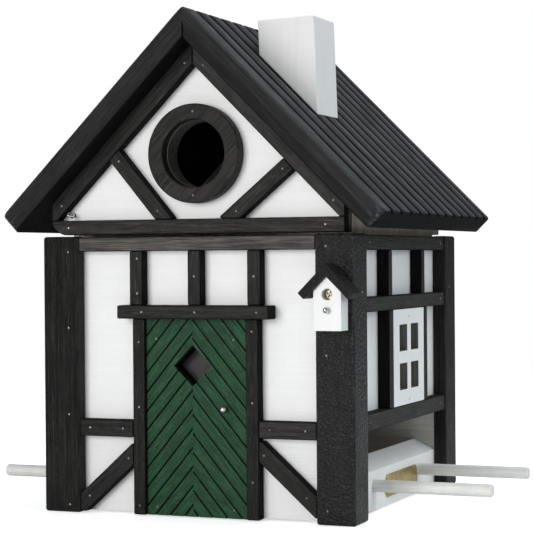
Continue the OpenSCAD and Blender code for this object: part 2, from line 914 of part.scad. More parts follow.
// A straight rod with rounded ends that passes through both sills
module perch(y) {
    round_r = 0.8;
    color("#e9e8df") translate([perch_shift, y, perch_z]) rotate([0, 90, 0]) rotate_extrude() {
        translate([0, -perch_len / 2 + round_r]) square([perch_d / 2, perch_len - 2 * round_r]);
        translate([0, -perch_len / 2]) square([perch_d / 2 - round_r, perch_len]);
        for (s = [-1, 1]) translate([perch_d / 2 - round_r, s * (perch_len / 2 - round_r)]) circle(r = round_r);
    }
}

module front_perch() {
    perch(-perch_spread / 2);
}

module rear_perch() {
    perch(perch_spread / 2);
}

floor_board();
front_panel();
back_panel();
left_side_panel();
right_side_panel();
front_left_post();
front_right_post();
back_left_post();
back_right_post();
front_top_rail();
left_upper_stud();
middle_upper_stud();
right_upper_stud();
door_lintel();
left_door_post();
right_door_post();
door();
door_pane();
door_knob();
left_mid_rail();
right_mid_rail();
left_lower_brace();
right_lower_brace();
right_top_side_rail();
right_middle_side_rail();
right_low_side_rail();
right_side_studs();
right_window_frame();
right_window_pane();
right_feeder_sill();
brass_badge();
left_top_side_rail();
left_middle_side_rail();
left_low_side_rail();
left_side_studs();
left_window_frame();
left_window_pane();
left_feeder_sill();
little_house_body();
little_house_roof();
little_house_screw();
little_house_perch();
hinge_pins();
body_nails();
front_gable();
back_gable();
left_roof_board();
right_roof_board();
chimney();
gable_beam();
left_rafter_trim();
right_rafter_trim();
left_gable_brace();
right_gable_brace();
entrance_ring();
roof_nails();
front_perch();
rear_perch();
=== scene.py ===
import json
import math

import bmesh
import bpy
import numpy as np
from mathutils import Matrix, Vector


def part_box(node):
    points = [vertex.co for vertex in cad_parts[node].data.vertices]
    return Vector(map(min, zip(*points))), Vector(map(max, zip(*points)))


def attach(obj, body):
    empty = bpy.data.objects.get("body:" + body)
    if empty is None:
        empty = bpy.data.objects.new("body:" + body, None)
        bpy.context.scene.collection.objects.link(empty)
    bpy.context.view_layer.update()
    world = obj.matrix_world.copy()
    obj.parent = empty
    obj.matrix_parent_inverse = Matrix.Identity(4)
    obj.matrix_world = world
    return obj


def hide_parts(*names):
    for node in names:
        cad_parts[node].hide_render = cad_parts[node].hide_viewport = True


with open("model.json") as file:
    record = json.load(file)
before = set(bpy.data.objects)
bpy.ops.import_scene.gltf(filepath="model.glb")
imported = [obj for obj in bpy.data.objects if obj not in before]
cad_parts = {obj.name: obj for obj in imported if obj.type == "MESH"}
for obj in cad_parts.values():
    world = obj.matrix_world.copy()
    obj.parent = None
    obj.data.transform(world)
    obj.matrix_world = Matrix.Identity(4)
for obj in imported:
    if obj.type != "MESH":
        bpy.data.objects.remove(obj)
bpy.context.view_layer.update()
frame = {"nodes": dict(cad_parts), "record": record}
record = frame["record"]
bodyOf = {node: body for body, members in record["behaviour"]["bodies"].items() for node in members}
mm = 0.001
print("frame loaded:", len(frame["nodes"]), "nodes")


def corners(node):
    low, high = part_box(node)
    return np.array(low), np.array(high)


# ---- node helpers ----

def addNode(tree, kind, settings=None, **inputs):
    # a node with its own settings, and its inputs set by label, or wired when given a socket
    node = tree.nodes.new(kind)
    for label, value in (settings or {}).items():
        setattr(node, label, value)
    for label, value in inputs.items():
        setInput(tree, node, label.replace("_", " "), value)
    return node


def setInput(tree, node, label, value):
    socket = node.inputs[int(label)] if label.isdigit() else node.inputs[label]
    if isinstance(value, bpy.types.NodeSocket):
        tree.links.new(value, socket)
    else:
        socket.default_value = value


def mathNode(tree, operation, first, second=0.0, clamp=False):
    node = tree.nodes.new("ShaderNodeMath")
    node.operation = operation
    node.use_clamp = clamp
    setInput(tree, node, "0", first)
    setInput(tree, node, "1", second)
    return node.outputs[0]


def mapRange(tree, value, fromLow, fromHigh, toLow, toHigh):
    node = addNode(tree, "ShaderNodeMapRange", {"clamp": True, "interpolation_type": "SMOOTHSTEP"})
    for label, given in (("Value", value), ("From Min", fromLow), ("From Max", fromHigh),
                         ("To Min", toLow), ("To Max", toHigh)):
        setInput(tree, node, label, given)
    return node.outputs["Result"]


def mixColour(tree, factor, first, second, blend="MIX"):
    node = tree.nodes.new("ShaderNodeMix")
    node.data_type = "RGBA"
    node.blend_type = blend
    for index, given in ((0, factor), (6, first), (7, second)):
        if isinstance(given, bpy.types.NodeSocket):
            tree.links.new(given, node.inputs[index])
        elif index == 0:
            node.inputs[0].default_value = given
        else:
            node.inputs[index].default_value = (*given, 1.0)
    return node.outputs[2]


def times(tree, first, second):
    return mathNode(tree, "MULTIPLY", first, second)


def objectPoint(tree):
    return addNode(tree, "ShaderNodeTexCoord").outputs["Object"]


def splitPoint(tree, point):
    return addNode(tree, "ShaderNodeSeparateXYZ", None, Vector=point).outputs


def newGroup(name, inputs, outputs):
    # inputs are (label, kind, value) and outputs (label, kind)
    group = bpy.data.node_groups.new(name, "ShaderNodeTree")
    for label, kind, value in inputs:
        socket = group.interface.new_socket(label, in_out="INPUT", socket_type="NodeSocket" + kind)
        if value is not None:
            socket.default_value = value
    for label, kind in outputs:
        group.interface.new_socket(label, in_out="OUTPUT", socket_type="NodeSocket" + kind)
    return group, group.nodes.new("NodeGroupInput"), group.nodes.new("NodeGroupOutput")


def useGroup(tree, group, **inputs):
    node = tree.nodes.new("ShaderNodeGroup")
    node.node_tree = group
    for label, value in inputs.items():
        setInput(tree, node, label.replace("_", " "), value)
    return node


def stretched(tree, place, along, across):
    # the place divided by one length along the grain and another across it
    scale = addNode(tree, "ShaderNodeCombineXYZ")
    for label, size in (("X", along), ("Y", across), ("Z", across)):
        tree.links.new(mathNode(tree, "DIVIDE", 1.0, size), scale.inputs[label])
    moved = addNode(tree, "ShaderNodeVectorMath", {"operation": "MULTIPLY"})
    tree.links.new(place, moved.inputs[0])
    tree.links.new(scale.outputs[0], moved.inputs[1])
    return moved.outputs[0]


def noise(tree, place, scale=1.0, detail=4.0, roughness=0.55, distortion=0.0):
    node = addNode(tree, "ShaderNodeTexNoise", None, Vector=place, Scale=scale, Detail=detail,
                   Roughness=roughness, Distortion=distortion)
    return node.outputs["Fac"]


# ---- shared groups ----

def makeWoodGrain():
    # wide soft streaks and thin fibres, both drawn out along the grain
    group, source, sink = newGroup("woodGrain",
        [("Place", "Vector", None), ("Length", "Float", 0.05), ("Width", "Float", 0.0015), ("Bend", "Float", 0.6)],
        [("Streak", "Float"), ("Fibre", "Float")])
    place, length, width, bend = source.outputs[:4]
    wide = noise(group, stretched(group, place, length, width), detail=4.0, distortion=bend)
    thin = noise(group, stretched(group, place, times(group, length, 0.4), times(group, width, 0.36)),
                 detail=2.0, roughness=0.6)
    group.links.new(mapRange(group, wide, 0.36, 0.64, 0.0, 1.0), sink.inputs["Streak"])
    group.links.new(mapRange(group, thin, 0.36, 0.64, 0.0, 1.0), sink.inputs["Fibre"])
    return group


def makePaintFilm():
    # broad unevenness of a brushed coat, its small lumps and a few specks of grit
    group, source, sink = newGroup("paintFilm",
        [("Place", "Vector", None), ("Patch", "Float", 0.012), ("Lump", "Float", 0.0011)],
        [("Mottle", "Float"), ("Lumps", "Float"), ("Specks", "Float")])
    place, patch, lump = source.outputs[:3]
    broad = noise(group, stretched(group, place, patch, patch), detail=5.0, roughness=0.6)
    small = noise(group, stretched(group, place, lump, lump), detail=1.5, roughness=0.45)
    cell = times(group, lump, 3.2)
    cells = addNode(group, "ShaderNodeTexVoronoi", {"feature": "F1"}, Scale=1.0,
                    Vector=stretched(group, place, cell, cell))
    group.links.new(mapRange(group, broad, 0.3, 0.7, 0.0, 1.0), sink.inputs["Mottle"])
    group.links.new(mapRange(group, small, 0.25, 0.75, 0.0, 1.0), sink.inputs["Lumps"])
    group.links.new(mapRange(group, cells.outputs["Distance"], 0.05, 0.13, 1.0, 0.0), sink.inputs["Specks"])
    return group


def makeEdgeRub():
    # rounded edges where the coat is rubbed thin, broken up by noise; on the roof boards the same mark is also a
    # painted highlight along the back of each rib
    group, source, sink = newGroup("edgeRub",
        [("Edge", "Float", 0.0), ("Place", "Vector", None), ("Amount", "Float", 0.5)], [("Rubbed", "Float")])
    edge, place, amount = source.outputs[:3]
    broken = noise(group, stretched(group, place, 0.014, 0.0018), detail=4.0)
    kept = mapRange(group, broken, 0.42, 0.66, 0.0, 1.0)
    rubbed = mathNode(group, "MULTIPLY", times(group, edge, kept), amount, True)
    group.links.new(rubbed, sink.inputs["Rubbed"])
    return group


woodGrain, paintFilm, edgeRub = makeWoodGrain(), makePaintFilm(), makeEdgeRub()


# ---- materials ----

def startMaterial(name):
    material = bpy.data.materials.new(name)
    material.use_nodes = True
    tree = material.node_tree
    shader = tree.nodes["Principled BSDF"]
    return material, tree, shader


def pieceMark(tree, name, output="Fac"):
    node = addNode(tree, "ShaderNodeAttribute", {"attribute_type": "GEOMETRY", "attribute_name": name})
    return node.outputs[output]


def wire(tree, shader, colour, rough, height, look):
    # the colour, roughness and bump that change over the surface, and the look's own constants
    bump = addNode(tree, "ShaderNodeBump", None, Height=height, Strength=look["bump"], Distance=look["relief"])
    for label, value in (("Base Color", colour), ("Roughness", rough), ("Specular IOR Level", look["specular"]),
                         ("Normal", bump.outputs[0])):
        setInput(tree, shader, label, value)


def woodPlace(tree, place):
    # the piece's own grain mark, unless another source of coordinates is given
    return place(tree) if place else pieceMark(tree, "grain", "Vector")


def coatHeight(tree, grain, film, lumpy):
    # raised fibres, and the coat's own lumps for a given share
    return mathNode(tree, "ADD", times(tree, grain.outputs["Fibre"], 1.0 - lumpy),
                    times(tree, film.outputs["Lumps"], lumpy))


def stainedTimber(name, look, place=None):
    # stain that is greyer on planed faces, with painted shade that makes it near black in grooves, in shadowed ends and
    # under the boards; the darker sawn sides are partly real sawn wood and partly painted shade
    material, tree, shader = startMaterial(name)
    place = woodPlace(tree, place)
    grain = useGroup(tree, woodGrain, Place=place, Length=look["grainLength"], Width=look["grainWidth"], Bend=0.5)
    film = useGroup(tree, paintFilm, Place=place, Patch=look["patch"], Lump=look["lump"])
    # the edge mark is real wear, and on the roof boards it also carries a painted highlight along the back of each rib
    rub = useGroup(tree, edgeRub, Edge=pieceMark(tree, "edge"), Place=place, Amount=look["rub"])
    colour = mixColour(tree, grain.outputs["Streak"], look["dark"], look["light"])
    colour = mixColour(tree, times(tree, grain.outputs["Fibre"], look["fibre"]), colour, look["pale"])
    colour = mixColour(tree, times(tree, film.outputs["Mottle"], look["mottle"]), colour, look["dark"])
    colour = mixColour(tree, 1.0, colour, pieceMark(tree, "tone", "Color"), "MULTIPLY")
    colour = mixColour(tree, times(tree, film.outputs["Specks"], look["specks"]), colour, look["rubbed"])
    colour = mixColour(tree, rub.outputs["Rubbed"], colour, look["rubbed"])
    # painted shade: grooves, sawn sides and undersides darken towards near black, and the roof's marked faces take a
    # painted shadow
    sunk = mapRange(tree, pieceMark(tree, "sawnAndShade"), 0.02, 0.4, 0.0, look["sawnAndShade"])
    shadow = mapRange(tree, pieceMark(tree, "shadow"), 0.0, 1.0, 0.0, look["shade"])
    colour = mixColour(tree, shadow, colour, look["shadow"])
    colour = mixColour(tree, sunk, colour, look["deepShade"])
    dull = times(tree, mathNode(tree, "MAXIMUM", sunk, shadow), look["dull"])
    rough = mathNode(tree, "ADD", mapRange(tree, grain.outputs["Fibre"], 0.0, 1.0, *look["rough"]), dull, True)
    wire(tree, shader, colour, rough, coatHeight(tree, grain, film, look["lumpy"]), look)
    return material


timberLook = {
    "dark": (0.0070, 0.0066, 0.0060), "light": (0.0235, 0.0222, 0.0202), "pale": (0.048, 0.0455, 0.0415),
    "rubbed": (0.075, 0.070, 0.062), "deepShade": (0.0022, 0.0021, 0.0019), "shadow": (0.008, 0.0074, 0.0066),
    "grainLength": 0.03, "grainWidth": 0.0015, "patch": 0.014, "lump": 0.0011, "lumpy": 0.25,
    "fibre": 0.42, "mottle": 0.4, "specks": 0.12, "rub": 0.35, "sawnAndShade": 0.92, "shade": 0.85, "dull": 0.5,
    "rough": (0.38, 0.6), "specular": 0.16, "bump": 0.8, "relief": 0.0005}
postLook = dict(
    timberLook, dark=(0.003, 0.0028, 0.0025), light=(0.026, 0.0248, 0.0228), pale=(0.052, 0.050, 0.046),
    grainLength=0.07, grainWidth=0.0012, fibre=0.5, bump=1.0, relief=0.0009)
roughPostLook = dict(
    timberLook, dark=(0.0070, 0.0067, 0.0063), light=(0.0115, 0.0112, 0.0105), lump=0.0012, lumpy=1.0,
    fibre=0.06, mottle=0.3, specks=0.16, rough=(0.28, 0.42), specular=0.20, bump=0.7, relief=0.0006)
# on the roof the bluish rubbed colour is a painted highlight along the back of each rib as well as real wear at the
# eave corner, and the near-black colour is painted shade in the grooves
roofLook = dict(
    timberLook, dark=(0.0065, 0.0063, 0.0060), light=(0.0195, 0.0192, 0.0184), pale=(0.050, 0.053, 0.053),
    rubbed=(0.150, 0.162, 0.168), deepShade=(0.0008, 0.0008, 0.0008), grainLength=0.06, grainWidth=0.0019,
    rub=1.0, sawnAndShade=0.98, rough=(0.42, 0.6), specular=0.2, bump=0.9)
ringLook = dict(timberLook, grainLength=0.04, grainWidth=0.0022, fibre=0.35)

rawLook = {
    "dark": (0.40, 0.355, 0.30), "light": (0.60, 0.55, 0.485), "grainLength": 0.06, "grainWidth": 0.002,
    "mottle": 0.4, "rough": 0.8, "specular": 0.2, "bump": 0.5, "relief": 0.0003}
paintLook = {
    "colour": (0.82, 0.82, 0.81), "shade": (0.72, 0.725, 0.72), "raw": (0.46, 0.38, 0.28), "grit": (0.55, 0.53, 0.5),
    "grainLength": 0.07, "grainWidth": 0.0016, "streak": 0.22, "mottle": 0.18, "specks": 0.12, "rub": 0.35,
    "rough": 0.48, "specular": 0.35, "lumpy": 0.4, "bump": 0.25, "relief": 0.00025,
    "wander": 0.002, "border": 0.0006}


def whitePaint(name, look, place=None, rawAbove=None):
    # brushed white paint over wood, with the grain showing through, and bare above a height if one is given
    material, tree, shader = startMaterial(name)
    place = woodPlace(tree, place)
    grain = useGroup(tree, woodGrain, Place=place, Length=look["grainLength"], Width=look["grainWidth"], Bend=0.8)
    film = useGroup(tree, paintFilm, Place=place, Patch=0.02, Lump=0.0009)
    rub = useGroup(tree, edgeRub, Edge=pieceMark(tree, "edge"), Place=place, Amount=look["rub"])
    shadeBy = mathNode(tree, "ADD", times(tree, grain.outputs["Streak"], look["streak"]),
                       times(tree, film.outputs["Mottle"], look["mottle"]))
    colour = mixColour(tree, shadeBy, look["colour"], look["shade"])
    colour = mixColour(tree, times(tree, film.outputs["Specks"], look["specks"]), colour, look["grit"])
    colour = mixColour(tree, rub.outputs["Rubbed"], colour, look["raw"])
    rough = look["rough"]
    if rawAbove is not None:
        wander = times(tree, noise(tree, place, scale=300.0), look["wander"])
        high = mathNode(tree, "ADD", splitPoint(tree, objectPoint(tree))["Z"], wander)
        bare = mapRange(tree, high, rawAbove, rawAbove + look["border"], 0.0, 1.0)
        wood = mixColour(tree, grain.outputs["Streak"], rawLook["dark"], rawLook["light"])
        colour = mixColour(tree, bare, colour, wood)
        rough = mapRange(tree, bare, 0.0, 1.0, look["rough"], rawLook["rough"])
    wire(tree, shader, colour, rough, coatHeight(tree, grain, film, look["lumpy"]), look)
    return material


def bareWood(name, look, place=None):
    material, tree, shader = startMaterial(name)
    place = woodPlace(tree, place)
    grain = useGroup(tree, woodGrain, Place=place, Length=look["grainLength"], Width=look["grainWidth"], Bend=1.2)
    film = useGroup(tree, paintFilm, Place=place, Patch=0.02, Lump=0.0012)
    colour = mixColour(tree, grain.outputs["Streak"], look["dark"], look["light"])
    colour = mixColour(tree, times(tree, film.outputs["Mottle"], look["mottle"]), colour, look["dark"])
    wire(tree, shader, colour, look["rough"], grain.outputs["Fibre"], look)
    return material


# the groove colour and the plank foot and ridge amounts are painted shade in and above the grooves and a painted
# highlight below them
doorLook = {
    "dark": (0.0058, 0.030, 0.0115), "light": (0.014, 0.060, 0.0245), "pale": (0.036, 0.112, 0.052),
    "groove": (0.001, 0.004, 0.002), "slope": 50.0, "shift": -0.002, "pitch": 0.009,
    "leftStart": 0.0062, "rightStart": 0.0036, "fibre": 0.38, "specks": 0.3, "plankFootShade": 0.5, "ridge": 0.42,
    "rough": (0.45, 0.62), "specular": 0.18, "lumpy": 0.5, "bump": 0.8, "relief": 0.0005}


def chevronPlace(tree, look):
    # coordinates mirrored about the door's middle line and turned so that X runs along the planks of each half,
    # the height above the groove below as a share of the distance between grooves, and which half it is
    parts = splitPoint(tree, objectPoint(tree))
    across = mathNode(tree, "SUBTRACT", parts["X"], look["shift"])
    aside = mathNode(tree, "ABSOLUTE", across)
    joined = addNode(tree, "ShaderNodeCombineXYZ", None, X=aside, Z=parts["Z"],
                     Y=times(tree, mathNode(tree, "SIGN", across), 0.37))
    slope = math.radians(look["slope"])
    planks = addNode(tree, "ShaderNodeMapping", {"vector_type": "TEXTURE"}, Vector=joined.outputs[0])
    planks.inputs["Rotation"].default_value = (0.0, slope, 0.0)
    onRight = mathNode(tree, "GREATER_THAN", across, 0.0)
    start = mathNode(tree, "ADD", times(tree, onRight, look["rightStart"] - look["leftStart"]), look["leftStart"])
    risen = mathNode(tree, "ADD", parts["Z"], times(tree, aside, math.tan(slope)))
    above = mathNode(tree, "DIVIDE", mathNode(tree, "SUBTRACT", risen, start), look["pitch"])
    return planks.outputs[0], mathNode(tree, "FRACT", above), onRight


def greenPaint(name, look):
    # thin green coat over fuzzy wood, pale where fibres stand up, with painted shade in and just above the grooves and
    # a painted highlight just below them
    material, tree, shader = startMaterial(name)
    place, share, onRight = chevronPlace(tree, look)
    grain = useGroup(tree, woodGrain, Place=place, Length=0.018, Width=0.0021, Bend=0.5)
    film = useGroup(tree, paintFilm, Place=place, Patch=0.009, Lump=0.0008)
    fibre = grain.outputs["Fibre"]
    colour = mixColour(tree, film.outputs["Mottle"], look["dark"], look["light"])
    colour = mixColour(tree, times(tree, fibre, look["fibre"]), colour, look["pale"])
    colour = mixColour(tree, times(tree, film.outputs["Specks"], look["specks"]), colour, look["pale"])
    # painted shade along the foot of each plank, just above the groove below
    plankFootShade = mathNode(tree, "SUBTRACT", 1.0, mapRange(tree, share, 0.06, 0.24, 0.0, 1.0))
    colour = mixColour(tree, times(tree, plankFootShade, look["plankFootShade"]), colour, look["dark"])
    # painted highlight along the top of each plank, just below the next groove, stronger on the right half
    ridge = times(tree, mapRange(tree, share, 0.80, 0.90, 0.0, look["ridge"]),
                  mapRange(tree, onRight, 0.0, 1.0, 0.35, 1.0))
    colour = mixColour(tree, times(tree, ridge, mapRange(tree, fibre, 0.0, 1.0, 0.6, 1.0)), colour, look["pale"])
    # painted shade in the grooves, deepening with their depth
    groove = mapRange(tree, pieceMark(tree, "sawnAndShade"), 0.25, 0.8, 0.0, 1.0)
    colour = mixColour(tree, groove, colour, look["groove"])
    rough = mapRange(tree, film.outputs["Mottle"], 0.0, 1.0, *look["rough"])
    wire(tree, shader, colour, rough, coatHeight(tree, grain, film, look["lumpy"]), look)
    return material


def metal(name, colour, shade, rough, patch=0.004):
    material, tree, shader = startMaterial(name)
    film = useGroup(tree, paintFilm, Place=objectPoint(tree), Patch=patch, Lump=0.0009)
    shader.inputs["Metallic"].default_value = 1.0
    wire(tree, shader, mixColour(tree, film.outputs["Mottle"], colour, shade),
         mapRange(tree, film.outputs["Lumps"], 0.0, 1.0, *rough), film.outputs["Lumps"],
         {"specular": 0.5, "bump": 0.15, "relief": 0.0001})
    return material


def plasticSheet(name, colour, shade, rough, specular):
    material, tree, shader = startMaterial(name)
    film = useGroup(tree, paintFilm, Place=objectPoint(tree), Patch=0.012, Lump=0.0015)
    wire(tree, shader, mixColour(tree, film.outputs["Mottle"], colour, shade),
         mapRange(tree, film.outputs["Mottle"], 0.0, 1.0, *rough), film.outputs["Lumps"],
         {"specular": specular, "bump": 0.08, "relief": 0.0001})
    return material


rodLook = {
    "dark": (0.68, 0.675, 0.64), "light": (0.80, 0.795, 0.765), "dull": (0.52, 0.515, 0.48), "mottle": 0.35,
    "rough": (0.34, 0.5), "specular": 0.5, "bump": 0.2, "relief": 0.0002}


def paleRod(name, look):
    # a pale rod with long faint streaks
    material, tree, shader = startMaterial(name)
    place = pieceMark(tree, "grain", "Vector")
    grain = useGroup(tree, woodGrain, Place=place, Length=0.09, Width=0.0012, Bend=0.2)
    film = useGroup(tree, paintFilm, Place=place, Patch=0.01, Lump=0.0007)
    colour = mixColour(tree, grain.outputs["Streak"], look["dark"], look["light"])
    colour = mixColour(tree, times(tree, film.outputs["Mottle"], look["mottle"]), colour, look["dull"])
    rough = mapRange(tree, grain.outputs["Fibre"], 0.0, 1.0, *look["rough"])
    wire(tree, shader, colour, rough, grain.outputs["Fibre"], look)
    return material


materials = {
    "timber": stainedTimber("blackTimber", timberLook),
    "post": stainedTimber("blackPost", postLook),
    "roughPost": stainedTimber("roughBlackPost", roughPostLook),
    "roof": stainedTimber("roofStain", roofLook),
    "ring": stainedTimber("ringStain", ringLook),
    "white": whitePaint("whitePaint", paintLook),
    "wallSide": whitePaint("whiteSideWall", paintLook, rawAbove=133.2 * mm),
    "bare": bareWood("bareWood", dict(rawLook, dark=(0.58, 0.55, 0.50), light=(0.74, 0.71, 0.66))),
    "floorWood": bareWood("floorWood", rawLook, objectPoint),  # the floor keeps its cut shape, which has no marks
    # the window jambs take raw wood much darker than the bare wood, painted shade for the inside of the window openings
    "jamb": bareWood("windowJamb", dict(rawLook, dark=(0.14, 0.134, 0.12), light=(0.24, 0.23, 0.205))),
    "holeEdge": bareWood("holeEdge", dict(rawLook, dark=(0.075, 0.071, 0.064), light=(0.16, 0.152, 0.137))),
    "green": greenPaint("doorGreen", doorLook),
    # the dark patches on the bright steel are painted dark reflections
    "steel": metal("brightSteel", (0.80, 0.80, 0.80), (0.12, 0.12, 0.12), (0.06, 0.16), patch=0.0016),
    "nail": metal("dullNail", (0.42, 0.39, 0.35), (0.13, 0.10, 0.075), (0.3, 0.5), patch=0.012),
    # painted shade: near black for the walls and back of the door pocket
    "cut": plasticSheet("pocketShadeBlack", (0.0022, 0.0022, 0.0022), (0.004, 0.004, 0.004), (0.6, 0.8), 0.1),
    "screw": metal("agedScrew", (0.34, 0.295, 0.235), (0.17, 0.14, 0.105), (0.28, 0.45)),
    "brass": metal("brushedBrass", (0.54, 0.415, 0.125), (0.30, 0.225, 0.06), (0.22, 0.40)),
    "darkPane": plasticSheet("darkPane", (0.013, 0.0127, 0.0135), (0.028, 0.0275, 0.0285), (0.35, 0.55), 0.2),
    "windowPane": plasticSheet("windowPane", (0.105, 0.101, 0.090), (0.185, 0.180, 0.162), (0.6, 0.8), 0.05),
    "rod": paleRod("paleRod", rodLook),
}
print("materials made:", len(materials))


# ---- surfaces ----

pieceCount = 0
surfaceSettings = {"weld": 1e-6, "sharp": 42.0, "shift": (0.0931, 0.0417, 0.0723), "normalWeight": 90}

# how pale the stain of a node is, against the usual
tones = {
    "front_top_rail": 4.2, "gable_beam": 1.5, "door_lintel": 1.25, "left_door_post": 0.65, "right_door_post": 0.75,
    "left_rafter_trim": 0.9, "right_rafter_trim": 1.7, "left_gable_brace": 1.1, "right_gable_brace": 1.2,
    "right_mid_rail": 1.5, "front_left_post": 0.85, "front_right_post": 0.8, "little_house_roof": 0.8,
    "right_low_side_rail": 1.2, "right_middle_side_rail": 1.1, "entrance_ring": 1.1}


def gridFaces(rows, columns):
    # quads between neighbouring points of a grid whose last column joins its first
    row = np.arange(rows - 1)[:, None] * columns
    column = np.arange(columns)[None, :]
    following = (column + 1) % columns
    corner = [row + column, row + following, row + columns + following, row + columns + column]
    return np.stack(corner, -1).reshape(-1, 4)


def tubeFaces(rows, columns, flipped=False):
    # the quads of such a grid, and a flat face that closes each end
    faces = gridFaces(rows, columns)
    caps = [np.arange(columns)[::-1], np.arange(columns) + (rows - 1) * columns]
    if flipped:
        faces, caps = faces[:, ::-1], [cap[::-1] for cap in caps]
    return faces.tolist() + [cap.tolist() for cap in caps]


def readVectors(items, label):
    # one vector for each vertex or face of a mesh
    values = np.empty(len(items) * 3)
    items.foreach_get(label, values)
    return values.reshape(-1, 3)


def setMark(mesh, label, values):
    mark = mesh.attributes.new(label, "FLOAT", "POINT")
    mark.data.foreach_set("value", np.asarray(values, np.float32).ravel())


def smooth(mesh):
    mesh.polygons.foreach_set("use_smooth", np.ones(len(mesh.polygons), bool))


def placeObject(name, data):
    holder = bpy.data.objects.new(name, data)
    bpy.context.scene.collection.objects.link(holder)
    return holder


def makePiece(name, points, faces, grainAlong, marks=None):
    # a mesh object with its grain mark and its own marks, one value for each point
    global pieceCount
    pieceCount += 1
    mesh = bpy.data.meshes.new(name)
    mesh.from_pydata(points, [], faces)
    mesh.validate()
    markGrain(mesh, grainAlong, pieceCount)
    for label, values in (marks or {}).items():
        setMark(mesh, label, values)
    work = bmesh.new()  # points that lie on each other at inner corners become one, so the surface closes
    work.from_mesh(mesh)
    bmesh.ops.remove_doubles(work, verts=work.verts, dist=surfaceSettings["weld"])
    work.to_mesh(mesh)
    work.free()
    smooth(mesh)
    mesh.set_sharp_from_angle(angle=math.radians(surfaceSettings["sharp"]))
    return placeObject(name, mesh)


def markGrain(mesh, along, number):
    # the mark holds distances along the grain and along two directions square to it, moved on for each piece
    first = np.array(along, float) / np.linalg.norm(along)
    helper = np.array((0.0, 1.0, 0.0)) if abs(first[1]) < 0.9 else np.array((1.0, 0.0, 0.0))
    second = np.cross(first, helper)
    second /= np.linalg.norm(second)
    turn = np.stack([first, second, np.cross(first, second)])
    place = readVectors(mesh.vertices, "co") @ turn.T + number * np.array(surfaceSettings["shift"])
    mark = mesh.attributes.new("grain", "FLOAT_VECTOR", "POINT")
    mark.data.foreach_set("vector", place.astype(np.float32).ravel())


def finishPiece(piece, node, material):
    # its finishes, its tone and even normals; it rides on the body of the node it stands for
    for each in material if isinstance(material, tuple) else (material,):
        piece.data.materials.append(materials[each])
    setMark(piece.data, "tone", np.full(len(piece.data.vertices), tones.get(node, 1.0)))
    even = piece.modifiers.new("evenNormals", "WEIGHTED_NORMAL")
    even.weight = surfaceSettings["normalWeight"]
    even.keep_sharp = True
    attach(piece, bodyOf[node])
    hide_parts(node)
    return piece


def outward(edges):
    # the direction square to each edge, to the right of its run
    return np.stack([edges[:, 1], -edges[:, 0]], 1) / np.linalg.norm(edges, axis=1, keepdims=True)


def roundedRings(outline, radii, insets, steps=5):
    # each ring is the outline moved inwards by one inset along its corners' mitres, and each corner is an arc
    # whose directions turn from one side's normal to the next; an inner corner stays one point on its mitre
    outline = np.asarray(outline, float)
    radii = np.broadcast_to(radii, len(outline)).astype(float)
    before = outward(outline - np.roll(outline, 1, 0))
    after = outward(np.roll(outline, -1, 0) - outline)
    mitre = -(before + after) / (1.0 + (before * after).sum(1))[:, None]
    start = np.arctan2(before[:, 1], before[:, 0])
    turn = (np.arctan2(after[:, 1], after[:, 0]) - start + np.pi) % (2 * np.pi) - np.pi
    share = np.linspace(0.0, 1.0, steps)
    angle = start[:, None] + turn[:, None] * share
    directions = np.stack([np.cos(angle), np.sin(angle)], -1)
    directions = np.where((turn < 0)[:, None, None], -mitre[:, None, :], directions)
    insets = np.asarray(insets, float)[:, None]
    kept = np.maximum(radii[None, :] - insets, 0.02 * radii[None, :])
    centres = outline[None] + (insets + kept)[..., None] * mitre[None]
    points = centres[:, :, None, :] + kept[..., None, None] * directions[None]
    onEdge = np.broadcast_to(np.sin(np.pi * share), (len(outline), steps)) * (np.abs(turn)[:, None] > 0.5)
    return points.reshape(len(insets), -1, 2), onEdge.ravel()


# for a piece carried along an axis: the two directions of its outline, and the axis
planeAxes = {
    "x": ((0, 1, 0), (0, 0, 1), (1, 0, 0)),
    "y": ((1, 0, 0), (0, 0, 1), (0, 1, 0)),
    "z": ((1, 0, 0), (0, 1, 0), (0, 0, 1))}


def softBlock(name, outline, axis, low, high, radius, grainAlong, face=None, endRound=None):
    # an outline carried straight from low to high, its rings drawn in at both ends so that every edge is round
    endRound = radius if endRound is None else endRound
    sweep = np.linspace(0.0, np.pi / 2, 5)
    inset = endRound * (1 - np.sin(sweep))
    rise = endRound * (1 - np.cos(sweep))
    insets = np.concatenate([inset, inset[::-1]])
    path = np.concatenate([low + rise, high - rise[::-1]])
    rings, onEdge = roundedRings(outline, radius, insets)
    first, second, along = np.array(planeAxes[axis], float)
    points = rings[..., :1] * first + rings[..., 1:] * second + path[:, None, None] * along
    rows, columns = rings.shape[:2]
    faces = tubeFaces(rows, columns, np.dot(np.cross(first, second), along) < 0)
    ends = np.concatenate([np.sin(2 * sweep), np.sin(2 * sweep)[::-1]])
    edge = np.maximum(ends[:, None], onEdge[None] * (np.concatenate([sweep, sweep[::-1]]) > 1.5)[:, None])
    sawnAndShade = np.zeros((rows, columns))
    if face:  # only the end that shows is planed; the other faces are darkened, partly as real sawn wood and partly as painted shade between the timbers
        near = np.concatenate([np.sin(sweep) ** 2, np.ones(5)])
        sawnAndShade[:] = (near if face == "low" else near[::-1])[:, None]
    return makePiece(name, points.reshape(-1, 3), faces, grainAlong, {"edge": edge, "sawnAndShade": sawnAndShade})


def meshPoints(node):
    return readVectors(frame["nodes"][node].data.vertices, "co")


def outlineOf(points, axis):
    # the points seen along an axis, without repeats, in order of their angle about their middle
    first, second, _ = np.array(planeAxes[axis], float)
    flat = np.unique(np.round(np.stack([points @ first, points @ second], 1), 6), axis=0)
    away = flat - flat.mean(0)
    return flat[np.argsort(np.arctan2(away[:, 1], away[:, 0]))]


# ---- corner posts ----

postSettings = {"round": 1.1 * mm, "endRound": 1.4 * mm}


